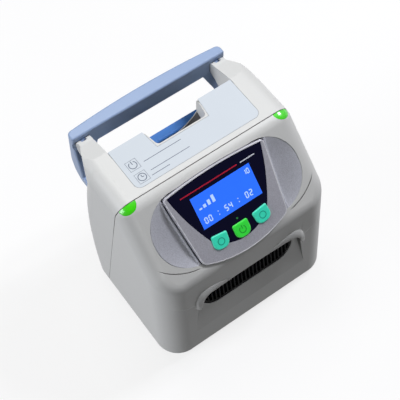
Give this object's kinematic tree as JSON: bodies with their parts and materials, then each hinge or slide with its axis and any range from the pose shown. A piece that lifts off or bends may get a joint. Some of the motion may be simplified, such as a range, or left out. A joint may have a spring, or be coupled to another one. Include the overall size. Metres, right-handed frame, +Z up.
{
  "type": "compression therapy pump",
  "caption": "Air compression therapy pump: box housing with a sloping display, push buttons, hose ports and a swinging hook frame for carrying or hanging on a bed.",
  "frame": {"origin": "on the floor under the middle of the bounding box", "axes": "+X to the user's right, +Y towards the back, +Z up"},
  "size_m": [0.196, 0.1794, 0.2],
  "materials": {
    "housing_white": "satin, finely textured",
    "tray_grey": "satin",
    "panel_white": "satin printed film",
    "hook_blue": "satin moulded",
    "pad_blue": "soft",
    "surround_silver": "silver paint",
    "bezel_silver": "silver lacquer",
    "window_black": "tinted acrylic",
    "screen_blue": "lit liquid crystal",
    "button_teal": "translucent",
    "button_green": "translucent",
    "lamp_green": "translucent",
    "rubber_black": "matt",
    "rubber_grey": "matt",
    "silicone": "translucent",
    "board_green": "solder mask",
    "black_plastic": "moulded",
    "grey_plastic": "moulded",
    "steel": "zinc plated",
    "cast_aluminium": "as cast",
    "wrap_blue": "shrink wrap",
    "foam_white": "felt"
  },
  "bodies": {
    "housing": {"front_cover": "housing_white", "rear_shell": "housing_white", "base_tray": "tray_grey", "feet": "rubber_grey", "top_panel": "panel_white", "lamp_left": "lamp_green", "lamp_right": "lamp_green", "lamp_leds": "black_plastic", "display_surround": "surround_silver", "display_bezel": "bezel_silver", "display_window": "window_black", "screen": "screen_blue", "display_board": "board_green", "display_parts": "black_plastic", "display_screws": "steel", "keypad_mat": "silicone", "status_led": "lamp_green", "buzzer": "black_plastic", "grille": "black_plastic", "shell_screws": "steel", "tray_screws": "steel", "hinge_pins": "steel", "bumpers": "rubber_black", "mains_inlet": "black_plastic", "hose_ports": "grey_plastic", "compressor_mounts": "rubber_black", "compressor_plate": "steel", "compressor_block": "cast_aluminium", "compressor_head": "cast_aluminium", "motor": "steel", "motor_cradle": "cast_aluminium", "intake_filter": "foam_white", "valve_manifold": "grey_plastic", "valves": "black_plastic", "manifold_screws": "steel", "supply_tube": "silicone", "outlet_tubes": "silicone", "main_board": "board_green", "main_parts": "black_plastic", "main_screws": "steel", "power_board": "board_green", "power_posts": "grey_plastic", "transformer": "black_plastic", "capacitors": "black_plastic", "battery": "wrap_blue", "battery_strap": "steel", "ribbon_cable": "grey_plastic"},
    "hook": {"hook_frame": "hook_blue", "hook_pad": "pad_blue"},
    "left_button": {"button_left": "button_teal"},
    "middle_button": {"button_middle": "button_green"},
    "right_button": {"button_right": "button_teal"}
  },
  "joints": [
    {"name": "hook_hinge", "type": "hinge", "parent": "housing", "child": "hook", "pos_m": [0, 0.0665, 0.183], "axis": [1, 0, 0], "range_deg": [0, 38]},
    {"name": "left_press", "type": "slide", "parent": "housing", "child": "left_button", "axis": [0, 0.7193, -0.6947], "range_m": [0, 0.0012], "stiffness_N_per_m": 1500, "springref_m": -0.0004},
    {"name": "middle_press", "type": "slide", "parent": "housing", "child": "middle_button", "axis": [0, 0.7193, -0.6947], "range_m": [0, 0.0012], "stiffness_N_per_m": 1500, "springref_m": -0.0004},
    {"name": "right_press", "type": "slide", "parent": "housing", "child": "right_button", "axis": [0, 0.7193, -0.6947], "range_m": [0, 0.0012], "stiffness_N_per_m": 1500, "springref_m": -0.0004}
  ]
}
